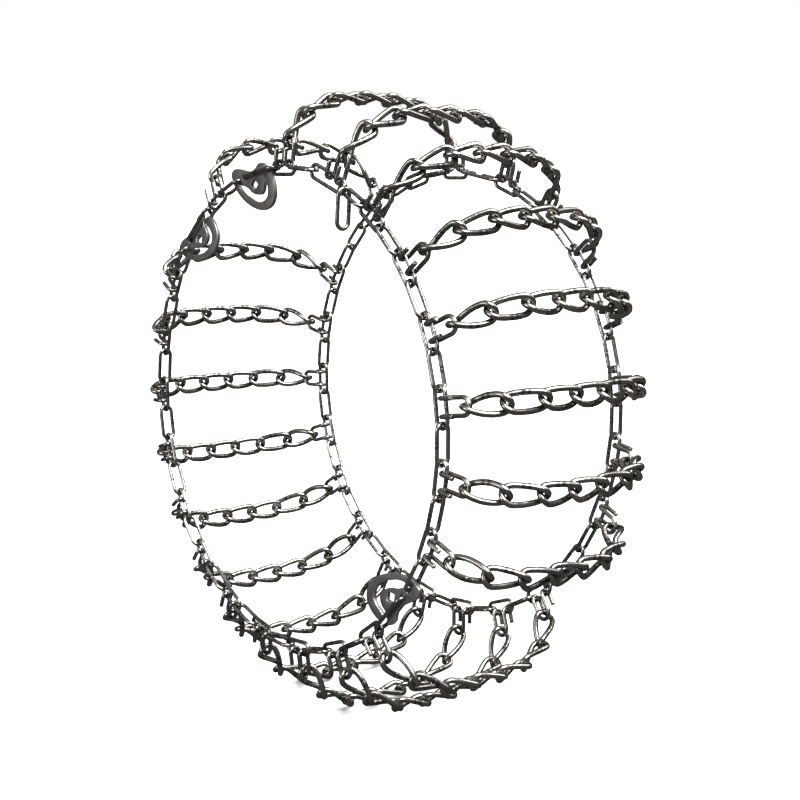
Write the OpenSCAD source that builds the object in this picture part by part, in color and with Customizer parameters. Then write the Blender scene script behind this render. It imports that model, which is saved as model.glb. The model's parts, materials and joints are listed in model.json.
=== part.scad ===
// Ladder-type tyre snow chain in its mounted shape, millimetres.
// The wheel axis is Y, +Z is up and the side with the tension cams faces -Y.
// The origin is the centre of the tyre that the chain is wrapped around.
// Angles round the wheel are measured from +Z towards +X. A slot is the room of
// two side-chain links: it carries either one cross chain or one tension cam.

/* [Side chains] */
// Radius of the circle through the joints of each side chain
ring_r = 318; // [315:1:321]
// Distance of each side chain from the middle of the tyre
ring_y = 147; // [146:1:149]
// Diameter of the side chain's wire
side_wire = 5.5; // [5.2:0.1:5.8]
// Clear width inside a side-chain link
side_gap_w = 11.5; // [11.2:0.1:12]

/* [Cross chains] */
// Radius at which the middle link of each cross chain lies
crown_r = 411; // [409:1:413]
// Diameter of the cross chain's wire
cross_wire = 7.8; // [7.4:0.1:8]
// Clear width inside a cross-chain link
cross_gap_w = 14.5; // [14.2:0.1:15]
// Length that each cross-chain link adds
cross_pitch = 46; // [45.5:0.5:46.5]
// Roll of the middle link about its length; the links beyond it turn by 90 in turn
cross_roll = 10; // [5:1:15]
// Free play in the joints of the cross chains, which hang slack
cross_play = 2; // [1.8:0.1:2.2]

/* [Cross hooks] */
// Diameter of the hook's wire
hook_wire = 6; // [5.6:0.1:6.2]
// Distance between the two legs of a hook
hook_leg_w = 21; // [20.5:0.5:22]
// Length of a hook's cut ends beyond the middle of the curl
hook_tip_l = 16; // [13:1:17]

/* [Tension cams] */
// Thickness of a cam plate
cam_t = 5; // [4.5:0.1:5.2]
// Side of the square hole that takes the tensioning key
key_w = 12; // [11:0.5:13]
// Radius of the eye that the long link passes through
cam_eye_r = 4.2; // [4:0.1:4.4]

/* [Inner closing hook] */
// Length of the opening through which the hook takes up the last link
crook_mouth = 16; // [14:1:20]
// Length of the straight tip that bends back towards the opening
crook_tip = 6; // [4:1:8]

/* [Hidden] */
$fn = 48;
// Free play left in every joint of the side chains, and where a hook holds a link
play = 0.4;
eye_play = 1.6;
// The slots are evenly spaced, but for the wider room between the last and slot 1
SLOTS = 23;
first_turn = 16.2;
slot_turn = 15.465;
function turn(slot) = first_turn + (slot - 1) * slot_turn;
step = slot_turn / 2;
// Regular side links: joint to joint, bend radius and radius of their middle
side_pitch = 2 * ring_r * sin(step / 2);
side_bend = (side_gap_w + side_wire) / 2;
link_r = ring_r * cos(step / 2);
// Slots that hold a cam; every other slot holds a cross chain
CAMS = [8, 20, 22];
function is_cam(slot) = len([for (cam = CAMS) if (cam == slot) cam]) > 0;
CROSSES = [for (slot = [1:SLOTS]) if (!is_cam(slot)) slot];
// Each cross-chain link beyond the middle one leans down further, on both sides
LEANS = [5, 24, 53];
function chain_end(i) = i < 0
    ? [cross_pitch / 2, crown_r]
    : chain_end(i - 1) + cross_pitch * [cos(LEANS[i]), -sin(LEANS[i])];
// The hooks and the flat side links lean with the tyre's sidewall
curl_r = (side_wire + hook_wire) / 2 + play;
hook_reach = [ring_y - chain_end(2).x, chain_end(2).y - link_r];
hook_lean = atan2(hook_reach.x, hook_reach.y) - asin(curl_r / norm(hook_reach));
hook_l = sqrt(pow(norm(hook_reach), 2) - pow(curl_r, 2)) + hook_wire / 2 + eye_play;
// The wire at the end of a link lies this far beyond its joint
overlap = (side_wire + play) / 2;
// A cam's eye lies this far past the joint before it, and this far inside the chain's line
eye_past = 15.5;
eye_sink = 0.3;
// A cam's eye and the far joint of its long link, seen from the slot's middle
cam_eye = [overlap + eye_past - side_pitch / 2, link_r - eye_sink];
cam_end = ring_r * [sin(1.5 * step), cos(1.5 * step)];
// Cam outline from its eye: round the arm, back along the slot, round the body
CAM_OUTLINE = [
    [-33, 10], [-30, -3], [-24, -14], [-14.5, -25.5], [-3, -36], [11, -45], [27, -51.8],
    [42, -52.3], [53, -48.5], [60, -40], [62.5, -30], [62, -20], [59.5, -11], [54, -7.6],
    [48, -9], [47, -17], [47.5, -25], [46, -33], [41, -38.5], [32, -40.5], [20, -38.5],
    [9, -33.5], [0, -27], [-7.8, -21.2], [-14.4, -14.1], [-18.4, -7.6], [-19.8, -1], [-19.6, 3.2],
    [-15.5, 5.2], [-12.4, 3], [-12, -1.5], [-11, -5.2], [-8, -9.2], [-3, -11.8],
    [3.5, -16.5], [11, -24], [20.5, -29], [30.5, -30.5], [37, -26.5], [40.5, -19],
    [41, -10], [45, -3], [50, 3], [44, 8], [34, 9.5], [26, 6], [17, 4.6], [8, 6.6],
    [0, 9.8], [-8, 13.5], [-17, 17], [-25, 17.8], [-31, 15.5]
];
OUTLINE_STEPS = 4;
key_at = [18, -14.5];
key_roll = 30;
// The room between the last slot and slot 1, in the frame of slot 1
room = 360 - (SLOTS - 1) * slot_turn - slot_turn;
last_joint = ring_r * [-sin(room + 1.5 * step), cos(room + 1.5 * step)];
long_reach = last_joint.x + sqrt(pow(side_pitch, 2) - pow(link_r - last_joint.y, 2));
// Turn of the side link whose outer bar the spare link hangs on, and the place along it
spare_turn = turn(1) + step;
spare_at = -8;

steel = [0.62, 0.62, 0.61];
dark_steel = [0.45, 0.46, 0.47];

function two(i) = str(i < 10 ? "0" : "", i);
COUNT = len(CROSSES);
LETTERS = ["a", "b", "c"];

// A point of the smooth closed curve through the points p, a share t past point i
function smooth(p, i, t) =
    let (n = len(p), a = p[(i + n - 1) % n], b = p[i], c = p[(i + 1) % n], d = p[(i + 2) % n])
    0.5 * (2 * b + (c - a) * t + (2 * a - 5 * b + 4 * c - d) * t * t
        + (3 * b - a - 3 * c + d) * t * t * t);

// A straight round bar from point a to point b
module bar(a, b, d) {
    v = b - a;
    translate(a)
        rotate([0, acos(v.z / norm(v)), atan2(v.y, v.x)])
            cylinder(d = d, h = norm(v));
}

// Half a ring of wire in the XY plane, on the +X side of the origin
module half_ring(bend_r, wire) {
    rotate([0, 0, -90])
        rotate_extrude(angle = 180)
            translate([bend_r, 0])
                circle(d = wire);
}

// A straight oval link along X, lying in the XY plane
module oval_link(inner_l, inner_w, wire) {
    bend_r = (inner_w + wire) / 2;
    bar_x = (inner_l + wire) / 2 - bend_r;
    for (end = [0, 1])
        mirror([end, 0, 0])
            translate([bar_x, 0, 0])
                half_ring(bend_r, wire);
    for (side = [-1, 1])
        bar([-bar_x, side * bend_r, 0], [bar_x, side * bend_r, 0], wire);
}

// Puts its children on the outer (-1) or inner (1) side, turned round the wheel,
// with X along the side chain and Z outwards from the axis
module on_side(side, turned) {
    rotate([0, turned, 0])
        translate([0, side * ring_y, 0])
            children();
}

// A side link between two joints [along, outwards], rolled about its length
module side_link(a, b, roll) {
    middle = (a + b) / 2;
    translate([middle.x, 0, middle.y])
        rotate([0, -atan2(b.y - a.y, b.x - a.x), 0])
            rotate([roll, 0, 0])
                oval_link(norm(b - a) + play, side_gap_w, side_wire);
}

// The joint at one end of a regular side link that is centred at turn 0
function joint(end) = [end * side_pitch / 2, link_r];

// A regular side link that lies flat against the tyre
module flat_link(side, turned) {
    on_side(side, turned)
        side_link(joint(-1), joint(1), 90 + side * hook_lean);
}

// A regular side link that stands on edge
module edge_link(side, turned) {
    on_side(side, turned)
        side_link(joint(-1), joint(1), 0);
}

// The flat links of the slots from first to last, and the edge links between them
module chain_run(side, first, last) {
    for (slot = [first:last])
        flat_link(side, turn(slot));
    if (last > first)
        for (slot = [first:last - 1])
            edge_link(side, turn(slot) + step);
}

// One link of a cross chain between two joints [across, outwards]
module cross_link(a, b, roll) {
    middle = (a + b) / 2;
    translate([0, middle.x, middle.y])
        rotate([atan2(b.y - a.y, b.x - a.x), 0, 0])
            rotate([0, 0, 90])
                rotate([roll, 0, 0])
                    oval_link(cross_pitch + cross_play, cross_gap_w, cross_wire);
}

// All links of one cross chain: the middle link, then three down each side
module cross_chain(slot) {
    color(steel)
        rotate([0, turn(slot), 0]) {
            cross_link([-cross_pitch / 2, crown_r], chain_end(-1), cross_roll);
            for (side = [0, 1], i = [0:2])
                mirror([0, side, 0])
                    cross_link(chain_end(i - 1), chain_end(i), cross_roll - (i == 1 ? 0 : 90));
        }
}

// A two-legged hook of bent wire, +Z outwards and the tyre on its +Y side.
// Its legs curl round the outer bar of a flat side link and end in cut tips.
module cross_hook() {
    leg_top = hook_l - hook_leg_w / 2;
    translate([0, curl_r, leg_top])
        rotate([90, -90, 0])
            half_ring(hook_leg_w / 2, hook_wire);
    for (side = [-1, 1])
        translate([side * hook_leg_w / 2, 0, side_bend]) {
            bar([0, curl_r, 0], [0, curl_r, leg_top - side_bend], hook_wire);
            rotate([0, 90, 0])
                half_ring(curl_r, hook_wire);
            bar([0, -curl_r, 0], [0, -curl_r, hook_tip_l], hook_wire);
        }
}

// The outer and the inner hook of one cross chain
module cross_hooks(slot) {
    color(steel)
        rotate([0, turn(slot), 0])
            for (side = [0, 1])
                mirror([0, side, 0])
                    translate([0, -ring_y, link_r])
                        rotate([-hook_lean, 0, 0])
                            cross_hook();
}

// The spiral plate of a tension cam, with its eye and its square key hole
module cam_plate(slot) {
    color(dark_steel)
        on_side(-1, turn(slot))
            translate([cam_eye.x, cam_t / 2, cam_eye.y])
                rotate([90, 0, 0])
                    difference() {
                        linear_extrude(cam_t)
                            polygon([for (i = [0:len(CAM_OUTLINE) - 1], j = [0:OUTLINE_STEPS - 1])
                                smooth(CAM_OUTLINE, i, j / OUTLINE_STEPS)]);
                        translate([0, 0, -1])
                            cylinder(r = cam_eye_r, h = cam_t + 2);
                        translate([key_at.x, key_at.y, cam_t / 2])
                            rotate([0, 0, key_roll])
                                cube([key_w, key_w, cam_t + 2], center = true);
                    }
}

// The link from a cam's eye to the next flat side link
module cam_long_link(slot) {
    color(steel)
        on_side(-1, turn(slot))
            side_link(cam_eye + [overlap, 0], cam_end, 0);
}

// The side link whose end sits in a cam's slot
module cam_slot_link(slot) {
    color(steel)
        edge_link(-1, turn(slot) - step);
}

// The outer side chain from cam a round the bottom to cam b
module outer_chain_a_to_b() {
    color(steel)
        chain_run(-1, CAMS[0] + 1, CAMS[1] - 1);
}

// The one flat link of the outer side chain between cams b and c
module outer_chain_b_to_c() {
    color(steel)
        chain_run(-1, CAMS[1] + 1, CAMS[2] - 1);
}

// The outer side chain from cam c over the top to cam a, but for the long link
module outer_chain_c_to_a() {
    color(steel) {
        flat_link(-1, turn(SLOTS));
        on_side(-1, turn(1))
            side_link(last_joint, [long_reach, link_r], 0);
        edge_link(-1, turn(1) + step);
        chain_run(-1, 2, CAMS[0] - 1);
    }
}

// The elongated flat link that the hook of slot 1 holds
module outer_long_link() {
    color(steel)
        on_side(-1, turn(1))
            side_link([long_reach, link_r], joint(1), 90 - hook_lean);
}

// The inner side chain, from slot 1 to the last slot
module inner_chain() {
    color(steel)
        chain_run(1, 1, SLOTS);
}

// The wire hook that closes the inner side chain: a long link with an open mouth
module inner_closing_hook() {
    half_room = (room + slot_turn - step) / 2;
    reach = ring_r * sin(half_room);
    mouth_x = side_bend - overlap - reach + crook_tip + crook_mouth / 2;
    color(steel)
        on_side(1, turn(1) - step / 2 - half_room)
            translate([0, 0, ring_r * cos(half_room)])
                difference() {
                    oval_link(2 * reach + play, side_gap_w, side_wire);
                    translate([mouth_x, side_bend, 0])
                        cube([crook_mouth, side_wire + 2, side_wire + 2], center = true);
                }
}

// A left-over end link that hangs on the outer bar of a side link
module spare_link() {
    drop = (side_pitch + play + side_wire) / 2 - (side_wire + play) / cos(spare_turn);
    color(steel)
        on_side(-1, spare_turn)
            translate([spare_at, -side_bend, link_r])
                rotate([0, -spare_turn, 0])
                    translate([0, 0, -drop])
                        rotate([0, -90, 0])
                            oval_link(side_pitch + play, side_gap_w, side_wire);
}

for (i = [1:COUNT])
    cross_chain(CROSSES[i - 1]);
for (i = [1:COUNT])
    cross_hooks(CROSSES[i - 1]);
for (i = [0:2])
    cam_plate(CAMS[i]);
for (i = [0:2])
    cam_long_link(CAMS[i]);
for (i = [0:2])
    cam_slot_link(CAMS[i]);
outer_chain_a_to_b();
outer_chain_b_to_c();
outer_chain_c_to_a();
outer_long_link();
inner_chain();
inner_closing_hook();
spare_link();
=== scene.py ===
"""Tire snow chains: the looks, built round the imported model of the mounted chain.

Every link and hook is wire swept along its own centre line, which follows from the
driving dimensions below. The cams are the model's own plates with rounded edges.
Lengths are in millimetres until a mesh is made, which is in metres.
"""

import json
import math

import bmesh
import bpy
import numpy as np
from mathutils import Matrix, Vector

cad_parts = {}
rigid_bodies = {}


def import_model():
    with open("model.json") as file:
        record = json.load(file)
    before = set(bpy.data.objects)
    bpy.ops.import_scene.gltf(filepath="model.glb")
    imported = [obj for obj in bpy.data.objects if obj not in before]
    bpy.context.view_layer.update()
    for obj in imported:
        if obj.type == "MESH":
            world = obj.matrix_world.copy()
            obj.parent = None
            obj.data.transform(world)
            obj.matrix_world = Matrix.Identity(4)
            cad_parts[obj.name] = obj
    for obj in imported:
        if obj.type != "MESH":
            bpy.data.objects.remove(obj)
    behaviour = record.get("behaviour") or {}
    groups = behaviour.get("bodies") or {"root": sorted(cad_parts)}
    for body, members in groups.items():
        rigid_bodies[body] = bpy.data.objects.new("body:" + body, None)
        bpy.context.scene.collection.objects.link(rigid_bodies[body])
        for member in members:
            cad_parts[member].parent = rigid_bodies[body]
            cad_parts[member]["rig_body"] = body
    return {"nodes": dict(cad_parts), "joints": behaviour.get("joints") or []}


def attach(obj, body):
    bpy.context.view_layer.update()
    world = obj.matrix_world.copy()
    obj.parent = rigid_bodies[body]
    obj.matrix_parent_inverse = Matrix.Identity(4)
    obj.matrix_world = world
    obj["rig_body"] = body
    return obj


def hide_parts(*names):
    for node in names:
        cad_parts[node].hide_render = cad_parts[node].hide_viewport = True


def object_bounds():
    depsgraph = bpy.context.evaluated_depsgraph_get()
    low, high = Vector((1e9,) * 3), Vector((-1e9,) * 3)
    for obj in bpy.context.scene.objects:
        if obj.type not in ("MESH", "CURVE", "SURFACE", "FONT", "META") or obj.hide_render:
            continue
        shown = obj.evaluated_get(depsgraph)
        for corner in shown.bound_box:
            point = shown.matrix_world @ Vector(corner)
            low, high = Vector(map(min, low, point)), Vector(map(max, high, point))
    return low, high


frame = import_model()
cad_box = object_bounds()

MM = 0.001

# Side chains: the circle through their joints, and its distance from the tyre's middle
RING_R = 318.0
RING_Y = 147.0
SIDE_WIRE = 5.5
# Bends are measured to the wire's centre line
SIDE_BEND = 8.5
# The gap between a side link and what it holds
PLAY = 0.4
# A slot is the room of two side links. It carries a cross chain or a cam.
SLOTS = 23
FIRST_TURN = 16.2
SLOT_TURN = 15.465
CAM_SLOTS = {"a": 8, "b": 20, "c": 22}

# Cross chains: the radius on which the middle link lies
CROWN_R = 411.0
CROSS_WIRE = 7.8
CROSS_BEND = 11.15
CROSS_PITCH = 46.0
CROSS_PLAY = 2.0
# How far the three further links on each side lean down, in degrees
LEANS = (5, 24, 53)
# Turn of a link's end about its length; the link's other end is turned the other way
TWIST = -45
# Turn of the last link's far end, where the hook's eye holds it
LAST_TWIST = 90

# Cross hooks: the legs' centre lines are HOOK_LEG_W apart, and each ends in a straight tip
HOOK_WIRE = 6.0
HOOK_LEG_W = 21.0
HOOK_TIP = 16.0
EYE_PLAY = 1.6

# A cam's eye lies this far past the end wire of the link in its slot, and this far inside
# the chain's line
CAM_EYE_PAST = 15.5
CAM_EYE_SINK = 0.3
# How much of a cam's edges is rounded off
CAM_EDGE = 0.8

# Inner closing hook: its straight tip and its open mouth
CROOK_TIP = 6.0
CROOK_MOUTH = 16.0

# Cut ends: the share of the radius left at the rim, and the depth of the face in wire
# diameters
CUT_RIM = 0.88
CUT_DISH = 0.05
# Stored on a cut face in place of how far it is rubbed, which is 0 to 1 elsewhere
# The cut face's light colour is bare cut steel made lighter still as a painted highlight
CUT = 3.0

# Welds: the lip's height is a share of the radius, the rest are distances from the weld's
# middle or widths, in wire diameters
LIP_HEIGHT = 0.06
LIP_W = 0.14
LIP_RUB_W = 0.12
BURN_AT = 0.45
BURN_W = 0.28
WELD_POINTS = (0.1, 0.2, 0.32, 0.5, 0.8)
WELD_CLEAR = 1.05
# How far the rubbed stretch reaches in from each end of a link, in wire diameters
RUB_L = 0.8
# A hook is rubbed at the middle of its eye, fading out over a 1 / EYE_RUB_FADE part of its
# points on both sides
EYE_RUB_FADE = 9

STEP = SLOT_TURN / 2
SIDE_PITCH = 2 * RING_R * math.sin(math.radians(STEP / 2))
LINK_R = RING_R * math.cos(math.radians(STEP / 2))
OVERLAP = (SIDE_WIRE + PLAY) / 2
ROOM = 360 - SLOTS * SLOT_TURN
CURL_R = (SIDE_WIRE + HOOK_WIRE) / 2 + PLAY
CROSS_SLOTS = [s for s in range(1, SLOTS + 1) if s not in CAM_SLOTS.values()]


# ---------------------------------------------------------------- placing

def turn(slot):
    """Degrees from the top to the middle of a slot."""
    return FIRST_TURN + (slot - 1) * SLOT_TURN


def rot(axis, degrees):
    return np.array(Matrix.Rotation(math.radians(degrees), 3, axis))


def place(points, matrix, offset=(0, 0, 0)):
    return points @ matrix.T + np.array(offset, float)


def on_side(points, side, turned):
    """From the frame of a side chain (X along it, Z outwards) to the object's frame."""
    return place(points + [0, side * RING_Y, 0], rot("Y", turned))


def polar(radius, degrees):
    """A point [along, outwards] at a radius, that many degrees on from the Z axis."""
    return np.array([math.sin(math.radians(degrees)), math.cos(math.radians(degrees))]) * radius


def slope(vector):
    """Degrees by which a vector [along, outwards] rises."""
    return math.degrees(math.atan2(vector[1], vector[0]))


# ---------------------------------------------------------------- wire

def spread(a, b, count):
    """count points from a towards b, without b itself."""
    return np.linspace(a, b, count, endpoint=False)


def oval(reach, bend_r, bar_steps):
    """Closed centre line of a straight link along X, from the middle of its +Y bar."""
    bend_steps = 16
    bar_x = reach - bend_r
    half = math.pi / 2
    east = spread(half, -half, bend_steps)
    west = spread(-half, -3 * half, bend_steps)
    rows = [
        np.stack([spread(0, bar_x, bar_steps // 2), np.full(bar_steps // 2, bend_r)], 1),
        np.stack([bar_x + bend_r * np.cos(east), bend_r * np.sin(east)], 1),
        np.stack([spread(bar_x, -bar_x, bar_steps), np.full(bar_steps, -bend_r)], 1),
        np.stack([-bar_x + bend_r * np.cos(west), bend_r * np.sin(west)], 1),
        np.stack([spread(-bar_x, 0, bar_steps // 2), np.full(bar_steps // 2, bend_r)], 1),
    ]
    flat = np.concatenate(rows)
    return np.column_stack([flat, np.zeros(len(flat))])


def link_path(length, bend_r, wire, bar_steps=14):
    """The oval with more points beside the weld. Its outside length is one wire more."""
    path = oval(length / 2, bend_r, bar_steps)
    near = np.array(WELD_POINTS) * wire
    start = np.column_stack([near, np.full(len(near), path[0, 1]), np.zeros(len(near))])
    end = start[::-1] * [-1, 1, 1]
    body = path[(np.abs(path[:, 0]) > WELD_CLEAR * wire) | (path[:, 1] * path[0, 1] < 0)]
    return np.concatenate([path[:1], start, body, end])


def other_bar(path):
    """The same link, with its weld on the other bar."""
    return path * [-1, -1, 1]


def twisted(points, start, end):
    """Turns each point about X, by start degrees at the -X end to end degrees at the +X end."""
    reach = np.abs(points[:, 0]).max()
    angle = np.radians(start + (end - start) * (points[:, 0] / reach + 1) / 2)
    y = points[:, 1] * np.cos(angle) - points[:, 2] * np.sin(angle)
    z = points[:, 1] * np.sin(angle) + points[:, 2] * np.cos(angle)
    return np.column_stack([points[:, 0], y, z])


def arc(start, end, count):
    """Angles of an arc's points in radians, from its start and end in degrees."""
    return np.linspace(math.radians(start), math.radians(end), count)


def cut_radii(count, wire):
    """The radius at each point of an open wire, whose two cut rims are worn."""
    radii = np.full(count, wire / 2)
    radii[[0, -1]] *= CUT_RIM
    return radii


class Wire:
    """Collects swept wires into one mesh, with what the steel materials need to know."""

    SIDES = 14
    # No wire starts along this direction
    OFF_AXIS = (0.31, 0.52, 0.79)

    def __init__(self):
        self.points = []
        self.faces = []
        self.grain = []
        self.weld = []
        self.rub = []
        self.tint = []
        self.count = 0

    def sweep(self, path, wire, closed, radii, tint, weld=0.0, rub=0.0):
        """Sweeps round wire along a path. weld and rub are one value or one for each point."""
        n = len(path)
        tangent = np.roll(path, -1, 0) - np.roll(path, 1, 0)
        if not closed:
            tangent[0] = path[1] - path[0]
            tangent[-1] = path[-1] - path[-2]
        tangent /= np.linalg.norm(tangent, axis=1)[:, None]
        side = self._carried(tangent, closed)
        up = np.cross(tangent, side)
        angle = np.arange(self.SIDES) * 2 * math.pi / self.SIDES
        ring = side[:, None] * np.cos(angle)[:, None] + up[:, None] * np.sin(angle)[:, None]
        points = path[:, None] + ring * radii[:, None, None]
        steps = np.linalg.norm(np.diff(path, axis=0), axis=1)
        along = np.concatenate([[0], np.cumsum(steps)])
        shape = (n, self.SIDES)
        grain = np.stack([
            np.broadcast_to(along[:, None], shape),
            np.broadcast_to(np.cos(angle) * wire / 2, shape),
            np.broadcast_to(np.sin(angle) * wire / 2, shape),
        ], 2)
        rows = n if closed else n - 1
        i, j = np.meshgrid(np.arange(rows), np.arange(self.SIDES), indexing="ij")
        i2, j2 = (i + 1) % n, (j + 1) % self.SIDES
        quads = np.stack([i * self.SIDES + j, i * self.SIDES + j2,
                          i2 * self.SIDES + j2, i2 * self.SIDES + j], 2).reshape(-1, 4)
        self.faces += (quads + self.count).tolist()
        self._add(points.reshape(-1, 3), grain.reshape(-1, 3),
                  np.repeat(np.zeros(n) + weld, self.SIDES),
                  np.repeat(np.zeros(n) + rub, self.SIDES), tint)
        if not closed:
            self._cap(points[0], tangent[0], wire, False, tint)
            self._cap(points[-1], -tangent[-1], wire, True, tint)

    def _carried(self, tangent, closed):
        """A side vector for each path point, carried along the path without twist."""
        start = np.cross(tangent[0], self.OFF_AXIS)
        sides = [start / np.linalg.norm(start)]
        for t in tangent[1:]:
            s = sides[-1] - t * np.dot(t, sides[-1])
            sides.append(s / np.linalg.norm(s))
        sides = np.array(sides)
        if closed:
            t = tangent[0]
            s = sides[-1] - t * np.dot(t, sides[-1])
            gap = math.atan2(np.dot(np.cross(s, sides[0]), t), np.dot(s, sides[0]))
            turn_by = gap * np.arange(len(tangent)) / len(tangent)
            sides = (sides * np.cos(turn_by)[:, None]
                     + np.cross(tangent, sides) * np.sin(turn_by)[:, None])
        return sides

    def _cap(self, edge, inwards, wire, flip, tint):
        """Closes a cut end with a face of its own, slightly dished, coloured as bare cut steel
        with a painted highlight.
        """
        first = self.count
        centre = first + self.SIDES
        for j in range(self.SIDES):
            a, b = first + j, first + (j + 1) % self.SIDES
            self.faces.append([centre, a, b] if flip else [centre, b, a])
        middle = edge.mean(0) + inwards * wire * CUT_DISH
        count = self.SIDES + 1
        self._add(np.vstack([edge, middle]), np.zeros((count, 3)), np.zeros(count),
                  np.full(count, CUT), tint)

    def _add(self, points, grain, weld, rub, tint):
        self.points.append(points)
        self.grain.append(grain)
        self.weld.append(weld)
        self.rub.append(rub)
        self.tint.append(np.full(len(points), tint))
        self.count += len(points)

    def mesh(self, name):
        mesh = bpy.data.meshes.new(name)
        mesh.from_pydata((np.concatenate(self.points) * MM).tolist(), [], self.faces)
        for label, rows in (("weld", self.weld), ("rub", self.rub), ("tint", self.tint)):
            layer = mesh.attributes.new(label, "FLOAT", "POINT")
            layer.data.foreach_set("value", np.concatenate(rows).astype(np.float32))
        layer = mesh.attributes.new("grain", "FLOAT_VECTOR", "POINT")
        layer.data.foreach_set("vector", (np.concatenate(self.grain) * MM).ravel())
        mesh.polygons.foreach_set("use_smooth", [True] * len(mesh.polygons))
        mesh.update()
        return mesh


def bump_at(off, middle, width):
    """1 where the distance off is middle, fading to 0 within about a width on both sides."""
    return np.exp(-((off - middle) / width) ** 2)


def welded_link(wires, path, wire, place_it, tint):
    """A closed link, welded in the middle of the bar where its path begins."""
    steps = np.linalg.norm(path - np.roll(path, 1, 0), axis=1)
    along = np.concatenate([[0], np.cumsum(steps[1:])])
    whole = along[-1] + steps[0]
    off = np.minimum(along, whole - along)
    lip = LIP_HEIGHT * bump_at(off, 0, LIP_W * wire)
    weld = bump_at(off, BURN_AT * wire, BURN_W * wire)
    reach = np.abs(path[:, 0]).max()
    rub = np.clip((np.abs(path[:, 0]) - reach + RUB_L * wire) / (RUB_L * wire), 0, 1)
    rub += bump_at(off, 0, LIP_RUB_W * wire)
    wires.sweep(place_it(path), wire, True, wire / 2 * (1 + lip), tint, weld, rub)


# ---------------------------------------------------------------- the pieces

shades = np.random.default_rng(7)


def shade():
    """The next random number from 0 to 1, which tints a wire or picks its welded bar."""
    return float(shades.uniform(0, 1))


def side_link(wires, side, turned, a, b, roll):
    """A side link between two joints [along, outwards], in the frame of that turn."""
    middle = (a + b) / 2
    matrix = rot("Y", -slope(b - a)) @ rot("X", roll)
    path = link_path(np.linalg.norm(b - a) + PLAY + SIDE_WIRE, SIDE_BEND, SIDE_WIRE)
    if side > 0 or shade() < 0.5:
        path = other_bar(path)

    def place_it(points):
        return on_side(place(points, matrix, (middle[0], 0, middle[1])), side, turned)

    welded_link(wires, path, SIDE_WIRE, place_it, shade())


def joint(end):
    """The joint at one end of a regular side link that is centred at turn 0."""
    return np.array([end * SIDE_PITCH / 2, LINK_R])


# Where the outer chain closes over the top, in the frame of slot 1: the far joint of the
# last slot, and the near joint of the long link, which is one link further
last_joint = polar(RING_R, -(ROOM + 1.5 * STEP))
long_start = last_joint[0] + math.sqrt(SIDE_PITCH ** 2 - (LINK_R - last_joint[1]) ** 2)
long_joint = np.array([long_start, LINK_R])


def flat_link(wires, side, turned):
    """A regular side link that lies flat against the tyre."""
    side_link(wires, side, turned, joint(-1), joint(1), 90 + side * hook_lean)


def edge_link(wires, side, turned):
    """A regular side link that stands on edge."""
    side_link(wires, side, turned, joint(-1), joint(1), 0)


def chain_run(wires, side, first, last):
    """The flat links of the slots from first to last, and the edge links between them."""
    for slot in range(first, last + 1):
        flat_link(wires, side, turn(slot))
    for slot in range(first, last):
        edge_link(wires, side, turn(slot) + STEP)


def chain_end(i):
    """The joint [across, outwards] at the far end of link i of a cross chain."""
    end = np.array([CROSS_PITCH / 2, CROWN_R])
    for lean in LEANS[:i + 1]:
        end = end + CROSS_PITCH * np.array(
            [math.cos(math.radians(lean)), -math.sin(math.radians(lean))])
    return end


# The hooks and the flat side links lean with the tyre's sidewall
hook_reach = np.array([RING_Y - chain_end(2)[0], chain_end(2)[1] - LINK_R])
hook_far = np.linalg.norm(hook_reach)
hook_lean = math.degrees(math.atan2(*hook_reach) - math.asin(CURL_R / hook_far))
hook_l = math.sqrt(hook_far ** 2 - CURL_R ** 2) + HOOK_WIRE / 2 + EYE_PLAY


def cross_link(wires, slot, side, a, b, start, end):
    """One twisted link of a cross chain, between two joints [across, outwards]."""
    middle = (a + b) / 2
    matrix = rot("X", slope(b - a)) @ rot("Z", 90)
    path = link_path(CROSS_PITCH + CROSS_PLAY + CROSS_WIRE, CROSS_BEND, CROSS_WIRE, bar_steps=20)
    if shade() < 0.5:
        path = other_bar(path)

    def place_it(points):
        points = place(twisted(points, start, end), matrix, (0, *middle))
        return place(points * [1, side, 1], rot("Y", turn(slot)))

    welded_link(wires, path, CROSS_WIRE, place_it, shade())


def cross_chain(slot):
    """The middle link, then three down each side."""
    wires = Wire()
    half = np.array([CROSS_PITCH / 2, CROWN_R])
    cross_link(wires, slot, 1, half * [-1, 1], half, TWIST, -TWIST)
    for side in (-1, 1):
        for i in range(3):
            end = LAST_TWIST if i == 2 else -TWIST
            cross_link(wires, slot, side, chain_end(i - 1), chain_end(i),
                       side * TWIST, side * end)
    return wires


def hook_path():
    """A hook's centre line: tip, curl, leg, eye and back down, +Z outwards."""
    leg_x = HOOK_LEG_W / 2
    leg_top = hook_l - leg_x
    curl_z = SIDE_BEND
    tip_z = curl_z + HOOK_TIP
    # How far the points of a straight stretch stay from the cut rim, the curl and the eye
    rim, rim_clear, curl_clear, eye_clear = 0.4, 3, 2, 1.5
    tip = [[leg_x, -CURL_R, z] for z in
           (tip_z, tip_z - rim, *np.linspace(tip_z - rim_clear, curl_z + curl_clear, 6))]
    curl = [[leg_x, CURL_R * math.sin(a), curl_z - CURL_R * math.cos(a)]
            for a in arc(-90, 90, 17)]
    leg = [[leg_x, CURL_R, z]
           for z in np.linspace(curl_z + curl_clear, leg_top - eye_clear, 8)]
    eye = [[leg_x * math.cos(a), CURL_R, leg_top + leg_x * math.sin(a)]
           for a in arc(0, 180, 23)]
    half = tip + curl + leg
    other = [[-x, y, z] for x, y, z in reversed(half)]
    return np.array(half + eye + other)


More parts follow.
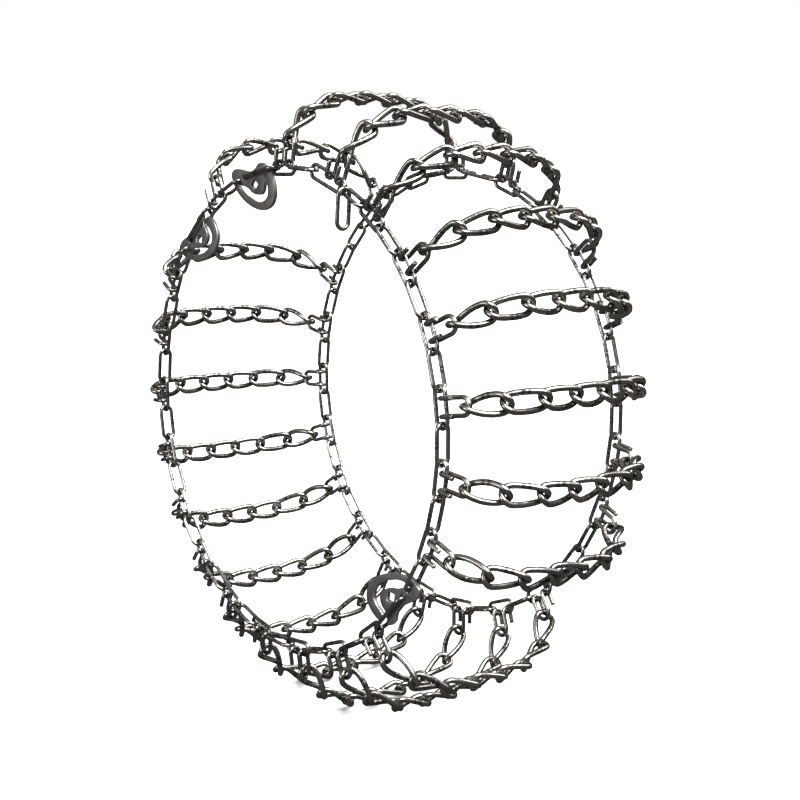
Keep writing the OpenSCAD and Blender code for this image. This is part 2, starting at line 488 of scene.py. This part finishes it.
def cross_hooks(slot):
    """The outer and the inner hook of one cross chain."""
    wires = Wire()
    for side in (-1, 1):
        path = place(hook_path(), rot("X", -hook_lean), (0, -RING_Y, LINK_R)) * [1, -side, 1]
        n = len(path)
        off = np.abs(np.arange(n) - (n - 1) / 2) / n
        rub = np.clip(1 - off * EYE_RUB_FADE, 0, 1)
        wires.sweep(place(path, rot("Y", turn(slot))), HOOK_WIRE, False,
                    cut_radii(n, HOOK_WIRE), shade(), rub=rub)
    return wires


def cam_long_link(slot):
    """The link from a cam's eye to the next flat side link."""
    wires = Wire()
    eye = np.array([OVERLAP + CAM_EYE_PAST - SIDE_PITCH / 2, LINK_R - CAM_EYE_SINK])
    side_link(wires, -1, turn(slot), eye + [OVERLAP, 0], polar(RING_R, 1.5 * STEP), 0)
    return wires


def cam_slot_link(slot):
    """The side link whose end sits in a cam's slot."""
    wires = Wire()
    edge_link(wires, -1, turn(slot) - STEP)
    return wires


def outer_chain(first, last):
    wires = Wire()
    chain_run(wires, -1, first, last)
    return wires


def outer_chain_over_top():
    """From cam c over the top to cam a, but for the long link."""
    wires = Wire()
    flat_link(wires, -1, turn(SLOTS))
    side_link(wires, -1, turn(1), last_joint, long_joint, 0)
    edge_link(wires, -1, turn(1) + STEP)
    chain_run(wires, -1, 2, CAM_SLOTS["a"] - 1)
    return wires


def outer_long_link():
    wires = Wire()
    side_link(wires, -1, turn(1), long_joint, joint(1), 90 - hook_lean)
    return wires


def inner_chain():
    wires = Wire()
    chain_run(wires, 1, 1, SLOTS)
    return wires


def inner_closing_hook():
    """A long link whose inner bar is open: an eye, a shank and a crook with a short tip."""
    half_room = (ROOM + SLOT_TURN - STEP) / 2
    bar_x = RING_R * math.sin(math.radians(half_room)) + OVERLAP - SIDE_BEND
    tip_x = CROOK_TIP - bar_x
    far_x = tip_x + CROOK_MOUTH
    # How far the points of a straight stretch stay from the cut rim and from the bends
    rim, clear = 0.5, 3
    path = [[x, SIDE_BEND, 0] for x in (tip_x, tip_x - rim, tip_x - clear)]
    path += [[-bar_x + SIDE_BEND * math.cos(a), SIDE_BEND * math.sin(a), 0]
             for a in arc(90, 270, 17)]
    path += [[x, -SIDE_BEND, 0] for x in np.linspace(-bar_x + clear, bar_x - clear, 12)]
    path += [[bar_x + SIDE_BEND * math.cos(a), SIDE_BEND * math.sin(a), 0]
             for a in arc(-90, 90, 17)]
    path += [[x, SIDE_BEND, 0] for x in
             (*np.linspace(bar_x - clear, far_x + clear, 5), far_x + rim, far_x)]
    path = np.array(path) + [0, 0, RING_R * math.cos(math.radians(half_room))]
    wires = Wire()
    wires.sweep(on_side(path, 1, turn(1) - STEP / 2 - half_room), SIDE_WIRE, False,
                cut_radii(len(path), SIDE_WIRE), shade())
    return wires


def spare_link():
    """The left-over link, hanging by its upper end from the joint that the record gives."""
    pivot = next(j for j in frame["joints"] if j["name"] == "loose_link_swing")["pos_m"]
    length = SIDE_PITCH + PLAY + SIDE_WIRE
    hang = length / 2 - (SIDE_WIRE + PLAY) / math.cos(math.radians(turn(1) + STEP))
    middle = np.array(pivot) / MM - [0, 0, hang]
    wires = Wire()

    def place_it(points):
        return place(points, rot("Y", -90), middle)

    welded_link(wires, link_path(length, SIDE_BEND, SIDE_WIRE), SIDE_WIRE, place_it, shade())
    return wires


def cam_plate(name):
    """The cam's own outline as one clean plate with rounded edges."""
    # Angles between neighbouring faces, in degrees
    flat_below, sharp_above, smooth_below = 1, 60, 35
    face_corners = 12
    bm = bmesh.new()
    bm.from_mesh(frame["nodes"][name].data)
    bmesh.ops.remove_doubles(bm, verts=bm.verts, dist=0.01 * MM)
    bmesh.ops.dissolve_limit(bm, angle_limit=math.radians(flat_below), verts=bm.verts,
                             edges=bm.edges)
    # The edges of the two faces, which alone have many corners
    sharp = [e for e in bm.edges
             if len(e.link_faces) == 2 and e.calc_face_angle(0) > math.radians(sharp_above)
             and any(len(f.verts) > face_corners for f in e.link_faces)]
    # The rounded edges get material 1, a lighter copy of the plate steel that is a painted
    # highlight
    bmesh.ops.bevel(bm, geom=sharp, offset=CAM_EDGE * MM, segments=3, profile=0.5,
                    affect="EDGES", clamp_overlap=True, material=1)
    mesh = bpy.data.meshes.new(name + "_steel")
    bm.to_mesh(mesh)
    bm.free()
    mesh.polygons.foreach_set("use_smooth", [True] * len(mesh.polygons))
    mesh.set_sharp_from_angle(angle=math.radians(smooth_below))
    return mesh


# ---------------------------------------------------------------- materials

# How far the steel's glancing reflections are dulled
EDGE_TINT = (0.45, 0.45, 0.45)
BURNT = (0.028, 0.024, 0.022)
# Bare steel at cut faces, made lighter still as a painted highlight
BARE_CUT_AND_PAINTED_HIGHLIGHT = (0.5, 0.48, 0.45)


def rgba(colour):
    return (*colour, 1)


class Nodes:
    """Makes the nodes of a material or a world.

    An input is given by its name, with _ for a space, or by its number as _0, _1, ...
    """

    def __init__(self, owner):
        owner.use_nodes = True
        self.tree = owner.node_tree
        self.tree.nodes.clear()

    def make(self, kind, settings=None, **inputs):
        made = self.tree.nodes.new("ShaderNode" + kind)
        for key, value in (settings or {}).items():
            setattr(made, key, value)
        for key, value in inputs.items():
            number = key[1:]
            socket = made.inputs[int(number) if number.isdigit() else key.replace("_", " ")]
            if isinstance(value, bpy.types.NodeSocket):
                self.tree.links.new(value, socket)
            else:
                socket.default_value = value
        return made

    def attribute(self, name, output="Fac"):
        return self.make("Attribute", {"attribute_name": name}).outputs[output]

    def mapped(self, at, **settings):
        return self.make("Mapping", _0=at, **settings).outputs[0]

    def noise(self, at, scale, detail, roughness=0.5):
        made = self.make("TexNoise", _0=at, Scale=scale, Detail=detail, Roughness=roughness)
        return made.outputs["Fac"]

    def remap(self, value, low, high, to_low, to_high):
        made = self.make("MapRange", _0=value, _1=low, _2=high, _3=to_low, _4=to_high)
        return made.outputs[0]

    def math(self, operation, *values):
        numbered = {f"_{i}": value for i, value in enumerate(values)}
        return self.make("Math", {"operation": operation}, **numbered).outputs[0]

    def mix(self, factor, first, second):
        return self.make("MixRGB", Fac=factor, Color1=first, Color2=second).outputs[0]

    def bump(self, height, strength, distance, **under):
        made = self.make("Bump", Height=height, Strength=strength, Distance=distance, **under)
        return made.outputs[0]

    def steel(self, colour, roughness, normal):
        shader = self.make("BsdfPrincipled", Base_Color=colour, Metallic=1.0,
                           Roughness=roughness, Normal=normal)
        shader.inputs["Specular Tint"].default_value = rgba(EDGE_TINT)
        self.make("OutputMaterial", Surface=shader.outputs[0])


def wire_steel(name, light, dark, seed):
    """Dark steel wire: drawing lines along it, scale in flecks, rubbed joints, burnt welds."""
    material = bpy.data.materials.new(name)
    nodes = Nodes(material)
    grain = nodes.attribute("grain", "Vector")
    rubbed = nodes.attribute("rub")
    rub = nodes.math("MINIMUM", rubbed, 1.0)
    # Mask of the cut faces, which get bare steel with a painted highlight
    cut = nodes.remap(rubbed, 1.0, CUT, 0.0, 1.0)

    lines_at = nodes.mapped(grain, Scale=(70, 1500, 1500), Location=(seed, 0, 0))
    lines = nodes.noise(lines_at, 1.0, 3.0)
    flecks_at = nodes.mapped(grain, Scale=(260, 520, 520), Location=(0, seed, 0))
    flecks = nodes.noise(flecks_at, 1.0, 4.0, 0.65)
    waves = nodes.noise(nodes.make("TexCoord").outputs["Object"], 190.0, 2.0)

    duller, brighter = [rgba([c * share for c in light]) for share in (0.72, 1.25)]
    worn = nodes.mix(nodes.attribute("tint"), duller, brighter)
    metal = nodes.mix(nodes.remap(lines, 0.35, 0.68, 0.0, 0.45), worn, rgba(dark))
    scale = nodes.remap(flecks, 0.52, 0.7, 0.0, 0.55)
    scale = nodes.math("MULTIPLY", scale, nodes.math("SUBTRACT", 1.0, rub))
    metal = nodes.mix(scale, metal, rgba(dark))
    burnt = nodes.math("MULTIPLY", nodes.attribute("weld"), 0.8)
    metal = nodes.mix(burnt, metal, rgba(BURNT))
    metal = nodes.mix(cut, metal, rgba(BARE_CUT_AND_PAINTED_HIGHLIGHT))

    shine = nodes.remap(lines, 0.3, 0.7, 0.17, 0.28)
    shine = nodes.math("MULTIPLY_ADD", scale, 0.22, shine)
    shine = nodes.math("MULTIPLY_ADD", rub, -0.04, shine)
    fine = nodes.math("MULTIPLY_ADD", scale, -0.8, lines)
    dents = nodes.bump(waves, 0.4, 0.0007)
    nodes.steel(metal, shine, nodes.bump(fine, 0.3, 0.00012, Normal=dents))
    return material


def plate_steel(name, light, dark, rough):
    """Pressed plate: satin, faintly pitted, with handling marks."""
    material = bpy.data.materials.new(name)
    nodes = Nodes(material)
    place_at = nodes.make("TexCoord").outputs["Object"]
    broad = nodes.noise(place_at, 70.0, 6.0, 0.6)
    fine = nodes.noise(place_at, 1300.0, 3.0)
    marks_at = nodes.mapped(place_at, Scale=(2200, 300, 260), Rotation=(0, 0.6, 0))
    marks = nodes.noise(marks_at, 1.0, 2.0)
    metal = nodes.make("ValToRGB", Fac=broad)
    for element, at, colour in zip(metal.color_ramp.elements, (0.36, 0.64), (dark, light)):
        element.position = at
        element.color = rgba(colour)
    shine = nodes.remap(marks, 0.35, 0.7, rough - 0.05, rough + 0.14)
    height = nodes.math("MULTIPLY_ADD", marks, 0.4, fine)
    nodes.steel(metal.outputs["Color"], shine, nodes.bump(height, 0.3, 0.00015))
    return material


def floor_paint():
    """Pale to the eye, but a painted dark reflection in the steel, standing in for the rubber
    under a mounted chain.
    """
    material = bpy.data.materials.new("pale_floor_dark_in_reflections")
    nodes = Nodes(material)
    # Glossy rays see a dark floor: a painted dark reflection
    mirrored = nodes.make("LightPath").outputs["Is Glossy Ray"]
    pale, dark = [nodes.make("BsdfDiffuse", Color=(grey, grey, grey, 1)).outputs[0]
                  for grey in (0.9, 0.05)]
    shader = nodes.make("MixShader", _0=mirrored, _1=pale, _2=dark)
    nodes.make("OutputMaterial", Surface=shader.outputs[0])
    return material


side_steel = wire_steel("side_chain_steel", (0.35, 0.34, 0.325), (0.045, 0.043, 0.04), 0.1)
cross_steel = wire_steel("cross_chain_steel", (0.35, 0.335, 0.31), (0.04, 0.036, 0.032), 0.4)
hook_steel = wire_steel("hook_steel", (0.36, 0.347, 0.328), (0.048, 0.045, 0.041), 0.7)
cam_face = plate_steel("cam_steel", (0.3, 0.295, 0.286), (0.21, 0.207, 0.2), 0.46)
# The rounded edges' much lighter copy of the plate steel is a painted highlight
cam_rim_highlight = plate_steel("cam_rim_painted_highlight", (0.75, 0.73, 0.7), (0.5, 0.485, 0.46), 0.28)


# ---------------------------------------------------------------- the object

def add_piece(node_name, mesh, materials):
    piece = bpy.data.objects.new(node_name + "_steel", mesh)
    bpy.context.scene.collection.objects.link(piece)
    for material in materials:
        mesh.materials.append(material)
    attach(piece, frame["nodes"][node_name]["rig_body"])
    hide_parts(node_name)


def add_wires(node_name, wires, material):
    add_piece(node_name, wires.mesh(node_name + "_steel"), [material])


def build_object():
    for i, slot in enumerate(CROSS_SLOTS, 1):
        add_wires(f"cross_chain_{i:02d}", cross_chain(slot), cross_steel)
        add_wires(f"cross_hooks_{i:02d}", cross_hooks(slot), hook_steel)
    for letter, slot in CAM_SLOTS.items():
        plate = "cam_plate_" + letter
        add_piece(plate, cam_plate(plate), [cam_face, cam_rim_highlight])
        add_wires("cam_long_link_" + letter, cam_long_link(slot), side_steel)
        add_wires("cam_slot_link_" + letter, cam_slot_link(slot), side_steel)
    a, b, c = CAM_SLOTS.values()
    runs = {
        "outer_chain_a_to_b": outer_chain(a + 1, b - 1),
        "outer_chain_b_to_c": outer_chain(b + 1, c - 1),
        "outer_chain_c_to_a": outer_chain_over_top(),
        "outer_long_link": outer_long_link(),
        "inner_chain": inner_chain(),
        "spare_link": spare_link(),
    }
    for name, wires in runs.items():
        add_wires(name, wires, side_steel)
    add_wires("inner_closing_hook", inner_closing_hook(), hook_steel)


# ---------------------------------------------------------------- the studio

# Azimuth, elevation and roll in degrees; azimuth 0 is in front of the outer side
CAMERA_TURN = (50.23, 11.53, 2.93)
# Metres back, right and up from the object's origin
CAMERA_AT = (1.863, 0.0386, 0.0019)
CAMERA_LENS = 60.3
# Name, azimuth, elevation, strength and width in degrees of each soft light
SUNS = [("key", 80, 60, 8.0, 50), ("fill", -8, 6, 1.8, 40), ("rim", 165, 40, 1.4, 30)]
# Brightness that the steel reflects from near the floor and from straight above
SKY = (0.05, 0.6)
# Half the floor's width in metres
FLOOR_HALF = 60


def direction(azimuth, elevation):
    """The unit vector towards an azimuth and elevation in degrees."""
    az, el = math.radians(azimuth), math.radians(elevation)
    return Vector((math.sin(az) * math.cos(el), -math.cos(az) * math.cos(el), math.sin(el)))


def make_camera():
    """Looks at the object from the right of its outer side, from a little above."""
    azimuth, elevation, roll = CAMERA_TURN
    back = direction(azimuth, elevation)
    right = Vector((0, 0, 1)).cross(back).normalized()
    up = back.cross(right)
    cos_roll, sin_roll = math.cos(math.radians(roll)), math.sin(math.radians(roll))
    right, up = right * cos_roll + up * sin_roll, up * cos_roll - right * sin_roll
    data = bpy.data.cameras.new("camera")
    data.sensor_width = 36
    data.lens = CAMERA_LENS
    data.clip_start = 0.05
    camera = bpy.data.objects.new("camera", data)
    bpy.context.scene.collection.objects.link(camera)
    at = sum((axis * far for axis, far in zip((back, right, up), CAMERA_AT)), Vector())
    turned = Matrix((right, up, back)).transposed().to_4x4()
    camera.matrix_world = Matrix.Translation(at) @ turned
    bpy.context.scene.camera = camera


def add_sun(name, azimuth, elevation, strength, width):
    data = bpy.data.lights.new(name, "SUN")
    data.energy = strength
    data.angle = math.radians(width)
    light = bpy.data.objects.new(name, data)
    bpy.context.scene.collection.objects.link(light)
    light.rotation_euler = direction(azimuth, elevation).to_track_quat("Z", "Y").to_euler()


def make_world():
    """White where the camera sees it; what the steel reflects fades to grey near the floor."""
    world = bpy.data.worlds.new("studio")
    bpy.context.scene.world = world
    nodes = Nodes(world)
    at = nodes.make("TexCoord").outputs["Generated"]
    height = nodes.make("SeparateXYZ", _0=at).outputs["Z"]
    grey = nodes.remap(height, 0.0, 1.0, *SKY)
    seen = nodes.make("LightPath").outputs["Is Camera Ray"]
    background = nodes.make("Background", Color=(1, 1, 1, 1),
                            Strength=nodes.math("MAXIMUM", seen, grey))
    nodes.make("OutputWorld", Surface=background.outputs[0])


def make_floor():
    mesh = bpy.data.meshes.new("floor")
    corners = [(-1, -1), (1, -1), (1, 1), (-1, 1)]
    mesh.from_pydata([(x * FLOOR_HALF, y * FLOOR_HALF, cad_box[0].z) for x, y in corners],
                     [], [(0, 1, 2, 3)])
    mesh.materials.append(floor_paint())
    floor = bpy.data.objects.new("floor", mesh)
    bpy.context.scene.collection.objects.link(floor)


def make_studio():
    bpy.context.scene.view_settings.view_transform = "Standard"
    make_floor()
    make_world()
    for sun in SUNS:
        add_sun(*sun)


make_camera()
make_studio()
build_object()
